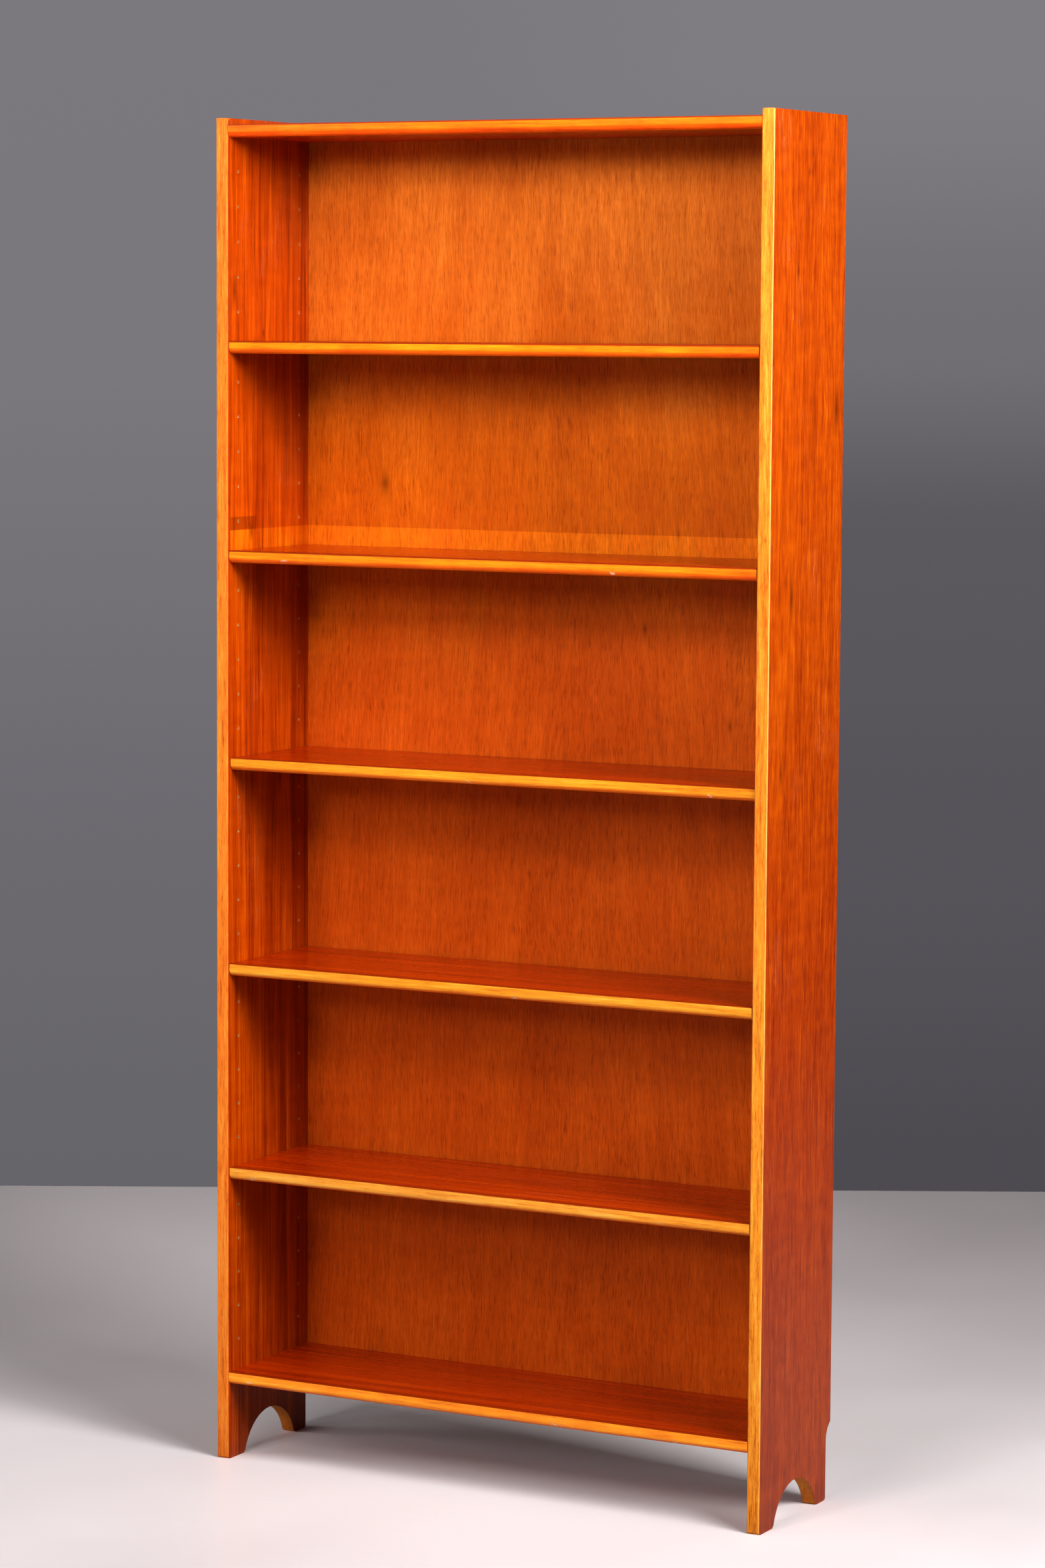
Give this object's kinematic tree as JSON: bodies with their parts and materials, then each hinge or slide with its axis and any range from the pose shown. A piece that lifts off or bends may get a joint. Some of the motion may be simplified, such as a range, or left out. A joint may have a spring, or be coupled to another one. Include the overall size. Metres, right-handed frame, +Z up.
{
  "type": "bookcase with adjustable shelves",
  "caption": "Tall free-standing open bookcase: wooden side panels with arched feet, fixed top board and bottom shelf, thin back panel and adjustable shelves on hidden bent wires.",
  "frame": {"origin": "on the floor, at the centre of the footprint", "axes": "+Z up along the height, +X to the right when facing the open front, +Y from the open front to the back panel"},
  "size_m": [0.88, 0.234, 1.95],
  "materials": {
    "panel_veneer": "gloss lacquered red-brown ribbon veneer",
    "board_veneer": "gloss lacquered red-brown ribbon veneer",
    "lipping": "satin lacquered light hardwood",
    "nosing": "satin lacquered amber hardwood",
    "back_panel": "low-sheen stained plywood",
    "dowel": "raw beech",
    "pin_steel": "bright steel pins",
    "wire_steel": "zinc-plated spring wire"
  },
  "bodies": {
    "carcass": {"left_side_panel": "panel_veneer", "right_side_panel": "panel_veneer", "left_front_lipping": "lipping", "right_front_lipping": "lipping", "top_board": "board_veneer", "top_board_nosing": "nosing", "bottom_shelf": "board_veneer", "bottom_shelf_nosing": "nosing", "back_panel": "back_panel", "top_board_dowels": "dowel", "bottom_shelf_dowels": "dowel", "back_panel_pins": "pin_steel"},
    "shelf_1_supports": {"shelf_1_left_wire": "wire_steel", "shelf_1_right_wire": "wire_steel"},
    "shelf_1": {"shelf_1_board": "board_veneer", "shelf_1_nosing": "nosing"},
    "shelf_2_supports": {"shelf_2_left_wire": "wire_steel", "shelf_2_right_wire": "wire_steel"},
    "shelf_2": {"shelf_2_board": "board_veneer", "shelf_2_nosing": "nosing"},
    "shelf_3_supports": {"shelf_3_left_wire": "wire_steel", "shelf_3_right_wire": "wire_steel"},
    "shelf_3": {"shelf_3_board": "board_veneer", "shelf_3_nosing": "nosing"},
    "shelf_4_supports": {"shelf_4_left_wire": "wire_steel", "shelf_4_right_wire": "wire_steel"},
    "shelf_4": {"shelf_4_board": "board_veneer", "shelf_4_nosing": "nosing"},
    "shelf_5_supports": {"shelf_5_left_wire": "wire_steel", "shelf_5_right_wire": "wire_steel"},
    "shelf_5": {"shelf_5_board": "board_veneer", "shelf_5_nosing": "nosing"}
  },
  "joints": [
    {"name": "shelf_1_height", "type": "slide", "parent": "carcass", "child": "shelf_1_supports", "axis": [0, 0, 1], "range_m": [-0.15, 0.15]},
    {"name": "shelf_1_pull", "type": "slide", "parent": "shelf_1_supports", "child": "shelf_1", "axis": [0, -1, 0], "range_m": [-0.0035, 0.24]},
    {"name": "shelf_2_height", "type": "slide", "parent": "carcass", "child": "shelf_2_supports", "axis": [0, 0, 1], "range_m": [-0.15, 0.15]},
    {"name": "shelf_2_pull", "type": "slide", "parent": "shelf_2_supports", "child": "shelf_2", "axis": [0, -1, 0], "range_m": [-0.0035, 0.24]},
    {"name": "shelf_3_height", "type": "slide", "parent": "carcass", "child": "shelf_3_supports", "axis": [0, 0, 1], "range_m": [-0.15, 0.15]},
    {"name": "shelf_3_pull", "type": "slide", "parent": "shelf_3_supports", "child": "shelf_3", "axis": [0, -1, 0], "range_m": [0, 0.2435]},
    {"name": "shelf_4_height", "type": "slide", "parent": "carcass", "child": "shelf_4_supports", "axis": [0, 0, 1], "range_m": [-0.15, 0.15]},
    {"name": "shelf_4_pull", "type": "slide", "parent": "shelf_4_supports", "child": "shelf_4", "axis": [0, -1, 0], "range_m": [-0.0035, 0.24]},
    {"name": "shelf_5_height", "type": "slide", "parent": "carcass", "child": "shelf_5_supports", "axis": [0, 0, 1], "range_m": [-0.15, 0.15]},
    {"name": "shelf_5_pull", "type": "slide", "parent": "shelf_5_supports", "child": "shelf_5", "axis": [0, -1, 0], "range_m": [-0.0035, 0.24]}
  ]
}
